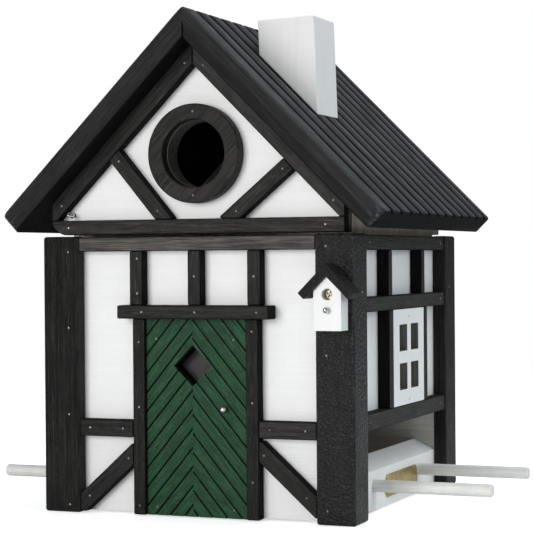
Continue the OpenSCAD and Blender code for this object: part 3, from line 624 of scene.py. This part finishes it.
def makePosts():
    wall = corners("front_panel")[1][0], -corners("front_panel")[0][1]  # outer faces of the side and front walls
    for side in ("left", "right"):
        for end in ("front", "back"):
            node = f"{end}_{side}_post"
            low, high = corners(node)
            sx, sy = (1 if side == "right" else -1), (1 if end == "back" else -1)
            inX, outX = sorted((low[0], high[0]), key=abs)
            inY, outY = sorted((low[1], high[1]), key=abs)
            outline = np.array([(inX, outY), (outX, outY), (outX, inY), (sx * wall[0], inY),
                                (sx * wall[0], sy * wall[1]), (inX, sy * wall[1])])
            if sx * sy > 0:
                outline = outline[::-1]
            post = softBlock(node + "Timber", outline, "z", low[2], high[2], postSettings["round"], (0, 0, 1),
                             endRound=postSettings["endRound"])
            finishPiece(post, node, "roughPost" if node == "front_right_post" else "post")


makePosts()

# ---- rails, studs and braces ----

trimSettings = {"round": 0.7 * mm}
frontTrims = {  # each with the direction of its grain
    "front_top_rail": (1, 0, 0), "left_upper_stud": (0, 0, 1), "middle_upper_stud": (0, 0, 1),
    "right_upper_stud": (0, 0, 1), "door_lintel": (1, 0, 0), "left_door_post": (0, 0, 1), "right_door_post": (0, 0, 1),
    "left_mid_rail": (1, 0, 0), "right_mid_rail": (1, 0, 0),
    "left_lower_brace": (0.74, 0, 0.67), "right_lower_brace": (0.74, 0, -0.67),
    "gable_beam": (1, 0, 0), "left_rafter_trim": (1, 0, 1), "right_rafter_trim": (1, 0, -1),
    "left_gable_brace": (-0.64, 0, 0.77), "right_gable_brace": (0.77, 0, 0.64)}
sideTrims = {"top_side_rail": (0, 1, 0), "middle_side_rail": (0, 1, 0), "low_side_rail": (0, 1, 0)}


def makeTrims():
    for node, along in frontTrims.items():
        low, high = corners(node)
        finishPiece(softBlock(node + "Timber", outlineOf(meshPoints(node), "y"), "y", low[1], high[1],
                              trimSettings["round"], along, "low"), node, "timber")
    for side in ("left", "right"):
        face = "high" if side == "right" else "low"
        for part, along in sideTrims.items():
            node = f"{side}_{part}"
            low, high = corners(node)
            finishPiece(softBlock(node + "Timber", outlineOf(meshPoints(node), "x"), "x", low[0], high[0],
                                  trimSettings["round"], along, face), node, "timber")
        makeSideStuds(side, face)


def makeSideStuds(side, face):
    # the four studs of a side are told apart by the middle rail's height and the window's middle
    node = f"{side}_side_studs"
    points = meshPoints(node)
    rail = corners(f"{side}_middle_side_rail")[0][2]
    window = sum(corners(f"{side}_window_frame"))[1] / 2
    for number, (above, behind) in enumerate(((0, 0), (0, 1), (1, 0), (1, 1))):
        own = points[((points[:, 2] > rail + mm) == bool(above)) & ((points[:, 1] > window) == bool(behind))]
        low, high = own.min(0), own.max(0)
        stud = softBlock(f"{node}{number}", outlineOf(own, "x"), "x", low[0], high[0],
                         trimSettings["round"], (0, 0, 1), face)
        finishPiece(stud, node, "timber")


makeTrims()
print("timbers made:", pieceCount)

# ---- roof boards ----

roofSettings = {
    "edge": 1.8 * mm, "rib": 0.6 * mm, "foot": 0.3 * mm, "under": 0.8 * mm, "step": 1.0 * mm,  # radii of the profile
    "eaveRound": 1.2 * mm, "ridgeRound": 0.15 * mm, "peakRound": 0.9 * mm, "arc": 4, "ends": 5,
    "corner": 5.0 * mm, "cornerReach": 2.8 * mm, "rebate": 1.3 * mm, "rebateFrom": 0.42, "rebateTo": 0.5,
    "nearRidge": (0.004, 0.01, 0.018, 0.03, 0.05), "nearEave": (0.95, 0.965, 0.977, 0.987, 0.995),
    "between": (0.08, 0.93, 30)}
# amounts of painted shade in the grooves and under the board, painted shadow on the front face and eave end, a painted
# highlight on the rib backs and painted shade on the rib fronts; the worn band is real wear
roofMarks = {
    "groove": 1.4 * mm, "plainEnd": 5 * mm, "under": 1.2 * mm, "underShade": 0.4, "frontBand": 2.5 * mm,
    "lipTop": 0.46, "lip": {"left": 0.15, "right": 0.5}, "eave": 0.9, "front": 0.3, "frontTop": 0.4 * mm,
    "wornBand": 6 * mm, "wornFrom": 0.2, "ribBackHighlight": 0.8, "ribFrontShade": 0.5, "ribFrontFrom": 3 * mm}


def roofProfile(depth, height, side):
    # the grooved outline of the board seen down its slope, as points of depth and height, and its corners' radii
    thick = height.max()
    profile = np.unique(np.round(np.stack([depth, height], 1), 5), axis=0)
    profile = profile[np.lexsort((np.where(profile[:, 1] < 1e-4, 0, 1), profile[:, 0]))]
    profile[-2:] = profile[-2:][::-1]
    radii = np.where(profile[:, 1] > thick - 1e-4, roofSettings["rib"], roofSettings["foot"])
    radii[[1, -2]] = roofSettings["edge"]
    radii[[0, -1]] = roofSettings["under"]
    if side == "right":  # its front edge has a shallow rebate along the lower half
        front = profile[0, 0]
        inner = front + roofSettings["rebate"]
        stepped = [(inner, 0.0), (inner, thick * roofSettings["rebateFrom"]), (front, thick * roofSettings["rebateTo"])]
        profile = np.concatenate([stepped, profile[1:]])
        radii = np.concatenate([[roofSettings["under"], roofSettings["foot"], roofSettings["step"]], radii[1:]])
    return profile[::-1], radii[::-1]


def shadeRoof(profile, y, t, thick, past, toEave, side):
    # marks: painted shade in the grooves and under the board, painted shadow on the sawn ends and on the front face,
    # most on its lower band, a painted highlight at the back of each rib and painted shade at its front, and real wear
    # at the eave corner
    front = profile[:, 0].min()
    inGroove = np.clip((thick - t) / roofMarks["groove"], 0, 1)
    inGroove *= (y > y.min() + roofMarks["plainEnd"]) & (y < y.max() - roofMarks["plainEnd"])
    under = np.clip((roofMarks["under"] - t) / mm, 0, 1) * roofMarks["underShade"]
    inFront = y < front + roofMarks["frontBand"]
    lip = (inFront & (t < thick * roofMarks["lipTop"])) * roofMarks["lip"][side]
    face = (inFront & (t < thick - roofMarks["frontTop"])) * roofMarks["front"]
    shadow = np.maximum(np.maximum(lip, toEave * roofMarks["eave"]), face)
    worn = (past / roofSettings["corner"]) * (y < front + roofMarks["wornBand"]) * (t > roofMarks["wornFrom"] * thick)
    onTop = profile[:, 1] > thick - 1e-4
    middle = (np.roll(profile[:, 0], 1) + np.roll(profile[:, 0], -1)) / 2
    ribFrontShade = onTop & (profile[:, 0] < middle - 1e-4)
    ribBackHighlight = onTop & ~ribFrontShade
    # painted highlight on the rib backs and painted shade on the rib fronts
    pale = np.repeat(ribBackHighlight * roofMarks["ribBackHighlight"], roofSettings["arc"])[None]
    dark = np.repeat(ribFrontShade * roofMarks["ribFrontShade"], roofSettings["arc"])[None]
    shadow = np.maximum(shadow, dark * (y > y.min() + roofMarks["ribFrontFrom"]))
    return {"sawnAndShade": np.maximum(inGroove, under), "shadow": shadow, "edge": np.maximum(pale, worn)}


def makeRoofBoard(side):
    # the board's grooved profile is carried down the slope; each point starts on the upright plane at the
    # ridge and ends square at the eave, and the profile is drawn in a little at both ends
    node = f"{side}_roof_board"
    sign = 1 if side == "right" else -1
    points = meshPoints(node) * (sign, 1, 1)
    top = points[:, 2].max()
    outer = points[np.argmax(points[:, 0])]
    pitch = math.atan2(top - outer[2], outer[0])
    away = np.array((math.sin(pitch), math.cos(pitch)))
    down = np.array((math.cos(pitch), -math.sin(pitch)))
    height = points[:, [0, 2]] @ away
    thick = height.max() - height.min()
    apex = height.min() / away[1]
    profile, radii = roofProfile(points[:, 1], height - height.min(), side)
    length = (points[:, [0, 2]] @ down).max() + apex * math.sin(pitch)
    ends = roofSettings["ends"]
    sweep = np.linspace(0.0, np.pi / 2, ends)
    rise, inset = 1 - np.cos(sweep), 1 - np.sin(sweep)
    share = np.concatenate([roofSettings["nearRidge"], np.linspace(*roofSettings["between"]), roofSettings["nearEave"]])
    ridge, eave = roofSettings["ridgeRound"], roofSettings["eaveRound"]
    insets = np.concatenate([ridge * inset, np.zeros(len(share)), eave * inset[::-1]])
    y, t = np.moveaxis(roundedRings(profile, radii, insets, steps=roofSettings["arc"])[0], -1, 0)
    start = -t * math.tan(pitch)
    fromRidge = np.concatenate([ridge * rise, np.full(len(share) + ends, ridge)])[:, None] / math.cos(pitch)
    fromEave = np.concatenate([np.full(ends + len(share), eave), eave * rise[::-1]])[:, None]
    part = np.concatenate([np.zeros(ends), share, np.ones(ends)])[:, None]
    s = (start + fromRidge) * (1 - part) + (length - fromEave) * part
    # the front corner at the eave is rounded by moving its points back along a quarter circle
    corner = roofSettings["corner"]
    past = np.clip(s - (length - corner), 0, corner)
    atCorner = np.where(y < profile[:, 0].min() + roofSettings["cornerReach"], 1, 0)
    y = y + atCorner * (corner - np.sqrt(corner ** 2 - past ** 2)) * (0.8 + 0.2 * t / thick)
    x = s * down[0] + t * away[0]
    # the top of the peak is rounded off across the ridge
    drop = (np.hypot(x, roofSettings["peakRound"]) - np.abs(x)) * math.tan(pitch) * np.clip(t / thick, 0, 1) ** 2
    z = apex + s * down[1] + t * away[1] - drop
    toEave = np.clip((s - (length - 0.6 * eave)) / (0.5 * eave), 0, 1)
    marks = shadeRoof(profile, y, t, thick, past, toEave, side)
    board = makePiece(node + "Grooved", np.stack([x * sign, y, z], -1).reshape(-1, 3),
                      tubeFaces(*y.shape, flipped=sign < 0), (sign * down[0], 0, down[1]), marks)
    finishPiece(board, node, "roof")


for side in ("left", "right"):
    makeRoofBoard(side)

# ---- turned pieces ----


def turned(name, profile, centre, axis, grainAlong, columns, closed):
    # a profile of radius and distance, turned about an axis through the centre; a closed profile returns to its start
    profile = np.asarray(profile, float)
    angle = np.linspace(0.0, 2 * np.pi, columns, endpoint=False)
    first, second, along = np.array(planeAxes[axis], float)
    if np.dot(np.cross(first, second), along) < 0:
        first, second = second, first
    around = np.cos(angle)[:, None] * first + np.sin(angle)[:, None] * second
    points = np.array(centre) + profile[:, 0, None, None] * around + profile[:, 1, None, None] * along
    if closed:
        faces = (gridFaces(len(profile) + 1, columns) % (len(profile) * columns)).tolist()
    else:
        faces = tubeFaces(len(profile), columns)
    return makePiece(name, points.reshape(-1, 3), faces, grainAlong)


ringSettings = {"round": 0.8 * mm, "columns": 128}


def makeRing():
    low, high = corners("entrance_ring")
    points = meshPoints("entrance_ring")
    centre = (low + high) / 2
    outer = (high[0] - low[0]) / 2
    inner = np.hypot(points[:, 0] - centre[0], points[:, 2] - centre[2]).min()
    half = (high[1] - low[1]) / 2
    square = [(inner, -half), (outer, -half), (outer, half), (inner, half)]
    profile = roundedRings(square, ringSettings["round"], [0.0])[0][0]
    ring = turned("entranceRingTurned", profile, centre, "y", (1, 0, 1), ringSettings["columns"], closed=True)
    finishPiece(ring, "entrance_ring", "ring")


perchSettings = {"soft": 0.9 * mm, "columns": 48, "plain": 2 * mm, "rows": 8, "from": 0.12, "steps": 6}


def makePerches():
    # a rod with softened ends; its flat end starts a little way into the rounding
    for node in ("front_perch", "rear_perch"):
        low, high = corners(node)
        radius, half = (high[2] - low[2]) / 2, (high[0] - low[0]) / 2
        soft, plain, rows = perchSettings["soft"], perchSettings["plain"], perchSettings["rows"]
        sweep = np.linspace(perchSettings["from"], np.pi / 2, perchSettings["steps"])
        nose = np.stack([radius - soft * (1 - np.sin(sweep)), -half + soft * (1 - np.cos(sweep))], 1)
        nose[0, 1] = -half
        body = np.stack([np.full(rows, radius), np.linspace(-half + plain, half - plain, rows)], 1)
        profile = np.concatenate([nose, body, nose[::-1] * (1, -1)])
        rod = turned(node + "Rod", profile, (low + high) / 2, "x", (1, 0, 0), perchSettings["columns"], closed=False)
        finishPiece(rod, node, "rod")


makeRing()
makePerches()

# ---- little house roof and badge ----


littleRoofSettings = {"round": 0.35 * mm}


def makeLittleRoof():
    node = "little_house_roof"
    low, high = corners(node)
    flat = np.unique(np.round(meshPoints(node)[:, [0, 2]], 6), axis=0)
    outline = flat[[2, 4, 5, 3, 0, 1]]  # its six points, sorted from left to right, put in order round the outline
    roof = softBlock("littleRoofTimber", outline, "y", low[1], high[1], littleRoofSettings["round"], (0, 1, 0))
    finishPiece(roof, node, "timber")


badgeSettings = {"border": 0.7 * mm, "rim": 0.14 * mm, "chamfer": 0.12 * mm, "wall": 0.15 * mm, "round": 0.5 * mm}


def makeBadge():
    # the plate's outline, drawn in step by step while it rises: a raised rim round a sunk blank field
    node = "brass_badge"
    low, high = corners(node)
    outline = outlineOf(meshPoints(node), "x")
    thick, border, chamfer = high[0] - low[0], badgeSettings["border"], badgeSettings["chamfer"]
    insets = np.array([0, 0, chamfer, border, border + badgeSettings["wall"]])
    lift = np.array([0, thick - chamfer, thick, thick, thick - badgeSettings["rim"]])
    rings, _ = roundedRings(outline, badgeSettings["round"], insets)
    height = np.broadcast_to((low[0] + lift)[:, None, None], (*rings.shape[:2], 1))
    points = np.concatenate([height, rings], -1).reshape(-1, 3)
    finishPiece(makePiece("brassBadgePlate", points, tubeFaces(*rings.shape[:2]), (0, 1, 0)), node, "brass")


makeLittleRoof()
makeBadge()

# ---- boards kept in their cut shape, with softened edges ----


def softCopy(name, node, width, grainAlong, material, paintedSide=None, shadeBox=None):
    # a merged copy of the cut shape with bevelled edges; only faces towards the painted side take the first finish
    global pieceCount
    pieceCount += 1
    mesh = frame["nodes"][node].data.copy()
    mesh.name = name
    mesh.materials.clear()
    work = bmesh.new()
    work.from_mesh(mesh)
    bmesh.ops.remove_doubles(work, verts=work.verts, dist=surfaceSettings["weld"])
    bmesh.ops.dissolve_limit(work, angle_limit=math.radians(1.0), verts=work.verts, edges=work.edges)
    work.to_mesh(mesh)
    work.free()
    piece = placeObject(name, mesh)
    markGrain(mesh, grainAlong, pieceCount)
    if paintedSide is not None:
        bare = readVectors(mesh.polygons, "normal") @ np.array(paintedSide, float) < 0.5
        index = bare.astype(np.int32)
        if shadeBox is not None:  # inside this box the bare faces, and any that lie deep in it, are blackened as painted shade in the recess
            middles = readVectors(mesh.polygons, "center")
            inside = ((middles > shadeBox[0]) & (middles < shadeBox[1])).all(1)
            deepShade = middles[:, 1] > shadeBox[0][1] + 3 * mm
            index[inside & (bare | deepShade)] = 2
        mesh.polygons.foreach_set("material_index", index)
    smooth(mesh)
    bevel = piece.modifiers.new("softEdges", "BEVEL")
    bevel.width, bevel.segments = width, 2
    bevel.material = 1 if "holeEdge" in material else -1
    bevel.limit_method, bevel.angle_limit = "ANGLE", math.radians(30)
    piece.modifiers.new("joined", "WELD").merge_threshold = surfaceSettings["weld"]
    return finishPiece(piece, node, material)


def makeBoards():
    low, high = corners("door_pane")
    pocket = np.array((low[0] - mm, corners("front_panel")[0][1], low[2] - mm)), high + mm
    softCopy("frontWallBoard", "front_panel", 0.2 * mm, (1, 0, 0), ("white", "bare", "cut"), (0, -1, 0), pocket)
    softCopy("backWallBoard", "back_panel", 0.4 * mm, (1, 0, 0), ("white", "bare"), (0, 1, 0))
    softCopy("frontGableBoard", "front_gable", 0.3 * mm, (1, 0, 0), ("white", "holeEdge"), (0, -1, 0))
    softCopy("backGableBoard", "back_gable", 0.3 * mm, (1, 0, 0), ("white", "bare"), (0, 1, 0))
    for side, sign in (("left", -1), ("right", 1)):
        softCopy(f"{side}WallBoard", f"{side}_side_panel", 0.4 * mm, (0, 0, 1), ("wallSide", "bare"), (sign, 0, 0))
        softCopy(f"{side}WindowFrame", f"{side}_window_frame", 0.25 * mm, (0, 0, 1), ("white", "jamb"), (sign, 0, 0))
        softCopy(f"{side}FeederSill", f"{side}_feeder_sill", 0.6 * mm, (0, 1, 0), ("white", "bare"), (sign, 0, 0.6))
    softCopy("chimneyBlock", "chimney", 0.5 * mm, (0.035, 0, 1), "white")
    softCopy("littleHouseBlock", "little_house_body", 0.3 * mm, (0, 0, 1), "white")
    door = softCopy("doorPlanks", "door", 0.16 * mm, (0.64, 0, 0.77), "green")
    # painted shade: the door's grooves are marked to darken with their depth
    depth = (readVectors(door.data.vertices, "co")[:, 1] - corners("door")[0][1]) / mm
    setMark(door.data, "sawnAndShade", np.clip(depth, 0, 1))


makeBoards()

# ---- pieces that keep their cut shape and only take a finish ----

plainFinishes = {
    "floor_board": "floorWood", "door_pane": "darkPane", "left_window_pane": "windowPane",
    "right_window_pane": "windowPane", "door_knob": "steel", "little_house_perch": "steel",
    "little_house_screw": "screw", "hinge_pins": "steel", "body_nails": "nail", "roof_nails": "nail"}
for node, finish in plainFinishes.items():
    mesh = frame["nodes"][node].data
    mesh.materials.clear()
    mesh.materials.append(materials[finish])
print("pieces made:", pieceCount)

# ---- floor, light and camera ----

stageSettings = {
    "first": 0.002, "second": 0.05, "radius": 3.0, "rings": 24, "columns": 96, "below": 0.0002,
    "fadeFrom": 0.30, "fadeTo": 1.1, "colour": (0.90, 0.90, 0.90), "glow": 0.6}


def makeFloor():
    # rings of points at growing radii make a flat disc, which fades out towards its rim and glows for the camera only
    radius = np.geomspace(stageSettings["second"], stageSettings["radius"], stageSettings["rings"])
    radius = np.concatenate([[stageSettings["first"]], radius])[:, None]
    columns = stageSettings["columns"]
    angle = np.linspace(0, 2 * np.pi, columns, endpoint=False)
    flat = np.full((len(radius), columns), -stageSettings["below"])
    points = np.stack([radius * np.cos(angle), radius * np.sin(angle), flat], -1)
    mesh = bpy.data.meshes.new("paleFloor")
    faces = gridFaces(len(radius), columns)[:, ::-1].tolist() + [list(range(columns))]
    mesh.from_pydata(points.reshape(-1, 3), [], faces)
    floor = placeObject("paleFloor", mesh)
    material, tree, shader = startMaterial("paleFloor")
    shader.inputs["Base Color"].default_value = (*stageSettings["colour"], 1)
    shader.inputs["Roughness"].default_value = 0.9
    shader.inputs["Specular IOR Level"].default_value = 0.1
    shader.inputs["Emission Color"].default_value = (1, 1, 1, 1)
    seen = addNode(tree, "ShaderNodeLightPath").outputs["Is Camera Ray"]
    tree.links.new(times(tree, seen, stageSettings["glow"]), shader.inputs["Emission Strength"])
    away = addNode(tree, "ShaderNodeVectorMath", {"operation": "LENGTH"}, Vector=objectPoint(tree))
    fade = mapRange(tree, away.outputs["Value"], stageSettings["fadeFrom"], stageSettings["fadeTo"], 0.0, 1.0)
    clear = addNode(tree, "ShaderNodeBsdfTransparent")
    blend = addNode(tree, "ShaderNodeMixShader")
    for index, source in enumerate((fade, shader.outputs[0], clear.outputs[0])):
        tree.links.new(source, blend.inputs[index])
    tree.links.new(blend.outputs[0], tree.nodes["Material Output"].inputs["Surface"])
    mesh.materials.append(material)


lightSettings = {
    "keyLight": {"at": (-0.45, -2.2, 0.40), "size": 1.2, "watts": 35.5, "colour": (1.0, 0.995, 0.985)},
    "topLight": {"at": (0.6, 0.5, 1.7), "size": 1.4, "watts": 15.0, "colour": (0.88, 0.95, 1.0)},
    "rightLight": {"at": (1.9, 0.2, 0.7), "size": 1.2, "watts": 11.0, "colour": (0.90, 0.97, 1.0)}}
lightTarget = (0, 0, 0.11)
worldSettings = {
    "seen": (1.0, 1.0, 1.0), "low": (0.16, 0.165, 0.17), "high": (0.42, 0.435, 0.45), "from": -0.2, "to": 0.8}


def makeLights():
    for name, light in lightSettings.items():
        lamp = bpy.data.lights.new(name, "AREA")
        lamp.shape, lamp.size, lamp.energy, lamp.color = "SQUARE", light["size"], light["watts"], light["colour"]
        aim = (Vector(lightTarget) - Vector(light["at"])).to_track_quat("-Z", "Y").to_matrix().to_4x4()
        placeObject(name, lamp).matrix_world = Matrix.Translation(light["at"]) @ aim


def makeWorld():
    # the camera sees white, and the object is lit by a grey that grows paler upwards
    world = bpy.data.worlds.new("studio")
    bpy.context.scene.world = world
    world.use_nodes = True
    tree = world.node_tree
    up = splitPoint(tree, addNode(tree, "ShaderNodeTexCoord").outputs["Generated"])["Z"]
    rise = mapRange(tree, up, worldSettings["from"], worldSettings["to"], 0.0, 1.0)
    lit = mixColour(tree, rise, worldSettings["low"], worldSettings["high"])
    seen = addNode(tree, "ShaderNodeLightPath").outputs["Is Camera Ray"]
    tree.links.new(mixColour(tree, seen, lit, worldSettings["seen"]), tree.nodes["Background"].inputs["Color"])


cameraSettings = {
    "at": (0.3425, -0.8369, 0.1222), "turn": 22.04, "tilt": -0.26, "roll": -0.43, "lens": 118.85,
    "sensor": 36.0, "near": 0.01, "far": 20.0}


def makeCamera():
    data = bpy.data.cameras.new("viewCamera")
    data.lens, data.sensor_width, data.sensor_fit = cameraSettings["lens"], cameraSettings["sensor"], "HORIZONTAL"
    data.clip_start, data.clip_end = cameraSettings["near"], cameraSettings["far"]
    camera = placeObject("viewCamera", data)
    aim = (Matrix.Rotation(math.radians(cameraSettings["turn"]), 4, "Z")
           @ Matrix.Rotation(math.radians(90 + cameraSettings["tilt"]), 4, "X")
           @ Matrix.Rotation(math.radians(cameraSettings["roll"]), 4, "Z"))
    camera.matrix_world = Matrix.Translation(cameraSettings["at"]) @ aim
    bpy.context.scene.camera = camera


makeFloor()
makeLights()
makeWorld()
makeCamera()
bpy.context.scene.view_settings.view_transform = "Standard"
print("stage, lights and camera set")
